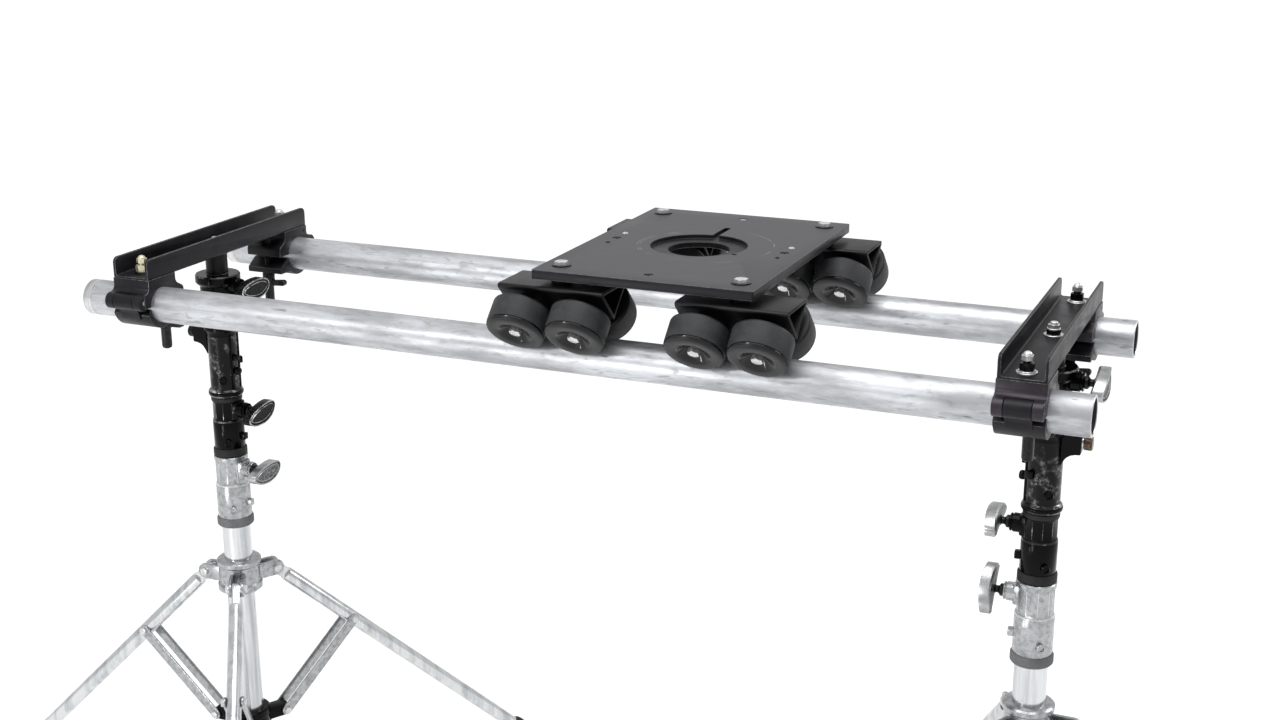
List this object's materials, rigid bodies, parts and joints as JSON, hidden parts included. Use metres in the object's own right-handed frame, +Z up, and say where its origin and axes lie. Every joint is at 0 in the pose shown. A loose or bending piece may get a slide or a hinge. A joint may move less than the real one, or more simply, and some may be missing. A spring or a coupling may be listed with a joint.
{
  "type": "portable track dolly",
  "caption": "Camera platform on angled skate wheels rolling on two tubular rails that clamp to cross channels on two folding adjustable stands.",
  "frame": {"origin": "on the floor, midway between the two stands", "axes": "+X along the rails, +Y from the front rail to the back rail, +Z up"},
  "size_m": [2.225, 0.8994, 1.0283],
  "materials": {
    "plate": "satin black anodised",
    "anodised": "satin black anodised",
    "rail": "bare drawn tube, worn",
    "urethane": "matte cast urethane",
    "steel": "plated tube",
    "casting": "gloss black coated",
    "handle": "bare casting"
  },
  "bodies": {
    "stand_left": {"column_left": "steel"},
    "riser_left": {"riser_left": "casting"},
    "track": {"receiver_left": "casting", "receiver_right": "casting", "track_end_left": "anodised", "track_end_right": "anodised", "rail_front": "rail", "rail_back": "rail"},
    "riser_right": {"riser_right": "casting"},
    "stand_right": {"column_right": "steel"},
    "carriage": {"platform": "plate"},
    "truck_front_left": {"truck_front_left": "anodised"},
    "wheel_front_left_a1": {"wheel_front_left_a1": "urethane"},
    "wheel_front_left_a2": {"wheel_front_left_a2": "urethane"},
    "wheel_front_left_b1": {"wheel_front_left_b1": "urethane"},
    "wheel_front_left_b2": {"wheel_front_left_b2": "urethane"},
    "truck_front_right": {"truck_front_right": "anodised"},
    "wheel_front_right_a1": {"wheel_front_right_a1": "urethane"},
    "wheel_front_right_a2": {"wheel_front_right_a2": "urethane"},
    "wheel_front_right_b1": {"wheel_front_right_b1": "urethane"},
    "wheel_front_right_b2": {"wheel_front_right_b2": "urethane"},
    "truck_back_left": {"truck_back_left": "anodised"},
    "wheel_back_left_a1": {"wheel_back_left_a1": "urethane"},
    "wheel_back_left_a2": {"wheel_back_left_a2": "urethane"},
    "wheel_back_left_b1": {"wheel_back_left_b1": "urethane"},
    "wheel_back_left_b2": {"wheel_back_left_b2": "urethane"},
    "truck_back_right": {"truck_back_right": "anodised"},
    "wheel_back_right_a1": {"wheel_back_right_a1": "urethane"},
    "wheel_back_right_a2": {"wheel_back_right_a2": "urethane"},
    "wheel_back_right_b1": {"wheel_back_right_b1": "urethane"},
    "wheel_back_right_b2": {"wheel_back_right_b2": "urethane"},
    "clamp_jaw_left_front": {"clamp_jaw_left_front": "anodised"},
    "clamp_screw_left_front": {"clamp_screw_left_front": "casting"},
    "clamp_jaw_left_back": {"clamp_jaw_left_back": "anodised"},
    "clamp_screw_left_back": {"clamp_screw_left_back": "casting"},
    "brace_collar_left": {"brace_collar_left": "casting"},
    "leg_left_1": {"leg_left_1": "steel"},
    "brace_left_1": {"brace_left_1": "steel"},
    "leg_left_2": {"leg_left_2": "steel"},
    "brace_left_2": {"brace_left_2": "steel"},
    "leg_left_3": {"leg_left_3": "steel"},
    "brace_left_3": {"brace_left_3": "steel"},
    "handle_left_lower": {"handle_left_lower": "handle"},
    "handle_left_middle": {"handle_left_middle": "handle"},
    "handle_left_upper": {"handle_left_upper": "handle"},
    "clamp_jaw_right_front": {"clamp_jaw_right_front": "anodised"},
    "clamp_screw_right_front": {"clamp_screw_right_front": "casting"},
    "clamp_jaw_right_back": {"clamp_jaw_right_back": "anodised"},
    "clamp_screw_right_back": {"clamp_screw_right_back": "casting"},
    "brace_collar_right": {"brace_collar_right": "casting"},
    "leg_right_1": {"leg_right_1": "steel"},
    "brace_right_1": {"brace_right_1": "steel"},
    "leg_right_2": {"leg_right_2": "steel"},
    "brace_right_2": {"brace_right_2": "steel"},
    "leg_right_3": {"leg_right_3": "steel"},
    "brace_right_3": {"brace_right_3": "steel"},
    "handle_right_lower": {"handle_right_lower": "handle"},
    "handle_right_middle": {"handle_right_middle": "handle"},
    "handle_right_upper": {"handle_right_upper": "handle"}
  },
  "joints": [
    {"name": "riser_left_slide", "type": "slide", "parent": "stand_left", "child": "riser_left", "axis": [0, 0, 1], "range_m": [0, 0.4]},
    {"name": "track_lift", "type": "slide", "parent": "riser_left", "child": "track", "axis": [0, 0, 1], "range_m": [0, 0.45]},
    {"name": "riser_right_slide", "type": "slide", "parent": "track", "child": "riser_right", "axis": [0, 0, 1], "range_m": [-0.45, 0]},
    {"name": "stand_right_slide", "type": "slide", "parent": "riser_right", "child": "stand_right", "axis": [0, 0, 1], "range_m": [-0.4, 0]},
    {"name": "carriage_roll", "type": "slide", "parent": "track", "child": "carriage", "axis": [1, 0, 0], "range_m": [-0.5208, 0.2268]},
    {"name": "swivel_front_left", "type": "hinge", "parent": "carriage", "child": "truck_front_left", "pos_m": [0.032, -0.1625, 1.01079], "axis": [0, 0, 1], "range_deg": [-0.4, 0.4]},
    {"name": "spin_front_left_a1", "type": "hinge", "parent": "truck_front_left", "child": "wheel_front_left_a1", "pos_m": [-0.0067, -0.20312, 0.95927], "axis": [0, -0.7071, -0.7071], "continuous": true},
    {"name": "spin_front_left_a2", "type": "hinge", "parent": "truck_front_left", "child": "wheel_front_left_a2", "pos_m": [0.0707, -0.20312, 0.95927], "axis": [0, -0.7071, -0.7071], "continuous": true},
    {"name": "spin_front_left_b1", "type": "hinge", "parent": "truck_front_left", "child": "wheel_front_left_b1", "pos_m": [-0.0067, -0.12188, 0.95927], "axis": [0, 0.7071, -0.7071], "continuous": true},
    {"name": "spin_front_left_b2", "type": "hinge", "parent": "truck_front_left", "child": "wheel_front_left_b2", "pos_m": [0.0707, -0.12188, 0.95927], "axis": [0, 0.7071, -0.7071], "continuous": true},
    {"name": "swivel_front_right", "type": "hinge", "parent": "carriage", "child": "truck_front_right", "pos_m": [0.262, -0.1625, 1.01079], "axis": [0, 0, 1], "range_deg": [-0.4, 0.4]},
    {"name": "spin_front_right_a1", "type": "hinge", "parent": "truck_front_right", "child": "wheel_front_right_a1", "pos_m": [0.2233, -0.20312, 0.95927], "axis": [0, -0.7071, -0.7071], "continuous": true},
    {"name": "spin_front_right_a2", "type": "hinge", "parent": "truck_front_right", "child": "wheel_front_right_a2", "pos_m": [0.3007, -0.20312, 0.95927], "axis": [0, -0.7071, -0.7071], "continuous": true},
    {"name": "spin_front_right_b1", "type": "hinge", "parent": "truck_front_right", "child": "wheel_front_right_b1", "pos_m": [0.2233, -0.12188, 0.95927], "axis": [0, 0.7071, -0.7071], "continuous": true},
    {"name": "spin_front_right_b2", "type": "hinge", "parent": "truck_front_right", "child": "wheel_front_right_b2", "pos_m": [0.3007, -0.12188, 0.95927], "axis": [0, 0.7071, -0.7071], "continuous": true},
    {"name": "swivel_back_left", "type": "hinge", "parent": "carriage", "child": "truck_back_left", "pos_m": [0.032, 0.1625, 1.01079], "axis": [0, 0, 1], "range_deg": [-0.4, 0.4]},
    {"name": "spin_back_left_a1", "type": "hinge", "parent": "truck_back_left", "child": "wheel_back_left_a1", "pos_m": [-0.0067, 0.12188, 0.95927], "axis": [0, -0.7071, -0.7071], "continuous": true},
    {"name": "spin_back_left_a2", "type": "hinge", "parent": "truck_back_left", "child": "wheel_back_left_a2", "pos_m": [0.0707, 0.12188, 0.95927], "axis": [0, -0.7071, -0.7071], "continuous": true},
    {"name": "spin_back_left_b1", "type": "hinge", "parent": "truck_back_left", "child": "wheel_back_left_b1", "pos_m": [-0.0067, 0.20312, 0.95927], "axis": [0, 0.7071, -0.7071], "continuous": true},
    {"name": "spin_back_left_b2", "type": "hinge", "parent": "truck_back_left", "child": "wheel_back_left_b2", "pos_m": [0.0707, 0.20312, 0.95927], "axis": [0, 0.7071, -0.7071], "continuous": true},
    {"name": "swivel_back_right", "type": "hinge", "parent": "carriage", "child": "truck_back_right", "pos_m": [0.262, 0.1625, 1.01079], "axis": [0, 0, 1], "range_deg": [-0.4, 0.4]},
    {"name": "spin_back_right_a1", "type": "hinge", "parent": "truck_back_right", "child": "wheel_back_right_a1", "pos_m": [0.2233, 0.12188, 0.95927], "axis": [0, -0.7071, -0.7071], "continuous": true},
    {"name": "spin_back_right_a2", "type": "hinge", "parent": "truck_back_right", "child": "wheel_back_right_a2", "pos_m": [0.3007, 0.12188, 0.95927], "axis": [0, -0.7071, -0.7071], "continuous": true},
    {"name": "spin_back_right_b1", "type": "hinge", "parent": "truck_back_right", "child": "wheel_back_right_b1", "pos_m": [0.2233, 0.20312, 0.95927], "axis": [0, 0.7071, -0.7071], "continuous": true},
    {"name": "spin_back_right_b2", "type": "hinge", "parent": "truck_back_right", "child": "wheel_back_right_b2", "pos_m": [0.3007, 0.20312, 0.95927], "axis": [0, 0.7071, -0.7071], "continuous": true},
    {"name": "jaw_hinge_left_front", "type": "hinge", "parent": "track", "child": "clamp_jaw_left_front", "pos_m": [-0.5955, -0.1995, 0.92299], "axis": [-1, 0, 0], "range_deg": [0, 80]},
    {"name": "screw_spin_left_front", "type": "hinge", "parent": "clamp_jaw_left_front", "child": "clamp_screw_left_front", "pos_m": [-0.5955, -0.1245, 0.91299], "axis": [0, 0, 1], "continuous": true},
    {"name": "jaw_hinge_left_back", "type": "hinge", "parent": "track", "child": "clamp_jaw_left_back", "pos_m": [-0.5955, 0.1995, 0.92299], "axis": [1, 0, 0], "range_deg": [0, 80]},
    {"name": "screw_spin_left_back", "type": "hinge", "parent": "clamp_jaw_left_back", "child": "clamp_screw_left_back", "pos_m": [-0.5955, 0.1245, 0.91299], "axis": [0, 0, 1], "continuous": true},
    {"name": "collar_slide_left", "type": "slide", "parent": "stand_left", "child": "brace_collar_left", "axis": [0, 0, -1], "range_m": [0, 0.10541]},
    {"name": "leg_pivot_left_1", "type": "hinge", "parent": "stand_left", "child": "leg_left_1", "pos_m": [-0.6515, 0, 0.44569], "axis": [0, -1, 0], "range_deg": [0, 42.01]},
    {"name": "brace_pivot_left_1", "type": "hinge", "parent": "brace_collar_left", "child": "brace_left_1", "pos_m": [-0.6515, 0, 0.20395], "axis": [0, 1, 0], "range_deg": [0, 42.01]},
    {"name": "leg_pivot_left_2", "type": "hinge", "parent": "stand_left", "child": "leg_left_2", "pos_m": [-0.5675, -0.0485, 0.44569], "axis": [0.866, 0.5, 0], "range_deg": [0, 42.01]},
    {"name": "brace_pivot_left_2", "type": "hinge", "parent": "brace_collar_left", "child": "brace_left_2", "pos_m": [-0.5675, -0.0485, 0.20395], "axis": [-0.866, -0.5, 0], "range_deg": [0, 42.01]},
    {"name": "leg_pivot_left_3", "type": "hinge", "parent": "stand_left", "child": "leg_left_3", "pos_m": [-0.5675, 0.0485, 0.44569], "axis": [-0.866, 0.5, 0], "range_deg": [0, 42.01]},
    {"name": "brace_pivot_left_3", "type": "hinge", "parent": "brace_collar_left", "child": "brace_left_3", "pos_m": [-0.5675, 0.0485, 0.20395], "axis": [0.866, -0.5, 0], "range_deg": [0, 42.01]},
    {"name": "handle_turn_left_lower", "type": "hinge", "parent": "stand_left", "child": "handle_left_lower", "pos_m": [-0.5955, 0, 0.61969], "axis": [1, 0, 0], "range_deg": [0, 270]},
    {"name": "handle_turn_left_middle", "type": "hinge", "parent": "riser_left", "child": "handle_left_middle", "pos_m": [-0.5955, 0, 0.71169], "axis": [1, 0, 0], "range_deg": [0, 270]},
    {"name": "handle_turn_left_upper", "type": "hinge", "parent": "track", "child": "handle_left_upper", "pos_m": [-0.5955, 0, 0.89999], "axis": [1, 0, 0], "range_deg": [0, 270]},
    {"name": "jaw_hinge_right_front", "type": "hinge", "parent": "track", "child": "clamp_jaw_right_front", "pos_m": [0.5955, -0.1995, 0.92299], "axis": [-1, 0, 0], "range_deg": [0, 80]},
    {"name": "screw_spin_right_front", "type": "hinge", "parent": "clamp_jaw_right_front", "child": "clamp_screw_right_front", "pos_m": [0.5955, -0.1245, 0.91299], "axis": [0, 0, 1], "continuous": true},
    {"name": "jaw_hinge_right_back", "type": "hinge", "parent": "track", "child": "clamp_jaw_right_back", "pos_m": [0.5955, 0.1995, 0.92299], "axis": [1, 0, 0], "range_deg": [0, 80]},
    {"name": "screw_spin_right_back", "type": "hinge", "parent": "clamp_jaw_right_back", "child": "clamp_screw_right_back", "pos_m": [0.5955, 0.1245, 0.91299], "axis": [0, 0, 1], "continuous": true},
    {"name": "collar_slide_right", "type": "slide", "parent": "stand_right", "child": "brace_collar_right", "axis": [0, 0, -1], "range_m": [0, 0.10541]},
    {"name": "leg_pivot_right_1", "type": "hinge", "parent": "stand_right", "child": "leg_right_1", "pos_m": [0.6515, 0, 0.44569], "axis": [0, 1, 0], "range_deg": [0, 42.01]},
    {"name": "brace_pivot_right_1", "type": "hinge", "parent": "brace_collar_right", "child": "brace_right_1", "pos_m": [0.6515, 0, 0.20395], "axis": [0, -1, 0], "range_deg": [0, 42.01]},
    {"name": "leg_pivot_right_2", "type": "hinge", "parent": "stand_right", "child": "leg_right_2", "pos_m": [0.5675, 0.0485, 0.44569], "axis": [-0.866, -0.5, 0], "range_deg": [0, 42.01]},
    {"name": "brace_pivot_right_2", "type": "hinge", "parent": "brace_collar_right", "child": "brace_right_2", "pos_m": [0.5675, 0.0485, 0.20395], "axis": [0.866, 0.5, 0], "range_deg": [0, 42.01]},
    {"name": "leg_pivot_right_3", "type": "hinge", "parent": "stand_right", "child": "leg_right_3", "pos_m": [0.5675, -0.0485, 0.44569], "axis": [0.866, -0.5, 0], "range_deg": [0, 42.01]},
    {"name": "brace_pivot_right_3", "type": "hinge", "parent": "brace_collar_right", "child": "brace_right_3", "pos_m": [0.5675, -0.0485, 0.20395], "axis": [-0.866, 0.5, 0], "range_deg": [0, 42.01]},
    {"name": "handle_turn_right_lower", "type": "hinge", "parent": "stand_right", "child": "handle_right_lower", "pos_m": [0.5955, 0, 0.61969], "axis": [-1, 0, 0], "range_deg": [0, 270]},
    {"name": "handle_turn_right_middle", "type": "hinge", "parent": "riser_right", "child": "handle_right_middle", "pos_m": [0.5955, 0, 0.71169], "axis": [-1, 0, 0], "range_deg": [0, 270]},
    {"name": "handle_turn_right_upper", "type": "hinge", "parent": "track", "child": "handle_right_upper", "pos_m": [0.5955, 0, 0.89999], "axis": [1, 0, 0], "range_deg": [0, 270]}
  ],
  "couplings": [
    {"joint": "riser_right_slide", "follows": "track_lift", "ratio": -1},
    {"joint": "stand_right_slide", "follows": "riser_left_slide", "ratio": -1},
    {"joint": "spin_front_left_a1", "follows": "carriage_roll", "rad_per_m": -27.027},
    {"joint": "spin_front_left_a2", "follows": "carriage_roll", "rad_per_m": -27.027},
    {"joint": "spin_front_left_b1", "follows": "carriage_roll", "rad_per_m": 27.027},
    {"joint": "spin_front_left_b2", "follows": "carriage_roll", "rad_per_m": 27.027},
    {"joint": "spin_front_right_a1", "follows": "carriage_roll", "rad_per_m": -27.027},
    {"joint": "spin_front_right_a2", "follows": "carriage_roll", "rad_per_m": -27.027},
    {"joint": "spin_front_right_b1", "follows": "carriage_roll", "rad_per_m": 27.027},
    {"joint": "spin_front_right_b2", "follows": "carriage_roll", "rad_per_m": 27.027},
    {"joint": "spin_back_left_a1", "follows": "carriage_roll", "rad_per_m": -27.027},
    {"joint": "spin_back_left_a2", "follows": "carriage_roll", "rad_per_m": -27.027},
    {"joint": "spin_back_left_b1", "follows": "carriage_roll", "rad_per_m": 27.027},
    {"joint": "spin_back_left_b2", "follows": "carriage_roll", "rad_per_m": 27.027},
    {"joint": "spin_back_right_a1", "follows": "carriage_roll", "rad_per_m": -27.027},
    {"joint": "spin_back_right_a2", "follows": "carriage_roll", "rad_per_m": -27.027},
    {"joint": "spin_back_right_b1", "follows": "carriage_roll", "rad_per_m": 27.027},
    {"joint": "spin_back_right_b2", "follows": "carriage_roll", "rad_per_m": 27.027},
    {"joint": "leg_pivot_left_1", "follows": "collar_slide_left", "rad_per_m": 6.9541},
    {"joint": "brace_pivot_left_1", "follows": "collar_slide_left", "rad_per_m": 6.9541},
    {"joint": "leg_pivot_left_2", "follows": "collar_slide_left", "rad_per_m": 6.9541},
    {"joint": "brace_pivot_left_2", "follows": "collar_slide_left", "rad_per_m": 6.9541},
    {"joint": "leg_pivot_left_3", "follows": "collar_slide_left", "rad_per_m": 6.9541},
    {"joint": "brace_pivot_left_3", "follows": "collar_slide_left", "rad_per_m": 6.9541},
    {"joint": "leg_pivot_right_1", "follows": "collar_slide_right", "rad_per_m": 6.9541},
    {"joint": "brace_pivot_right_1", "follows": "collar_slide_right", "rad_per_m": 6.9541},
    {"joint": "leg_pivot_right_2", "follows": "collar_slide_right", "rad_per_m": 6.9541},
    {"joint": "brace_pivot_right_2", "follows": "collar_slide_right", "rad_per_m": 6.9541},
    {"joint": "leg_pivot_right_3", "follows": "collar_slide_right", "rad_per_m": 6.9541},
    {"joint": "brace_pivot_right_3", "follows": "collar_slide_right", "rad_per_m": 6.9541}
  ]
}
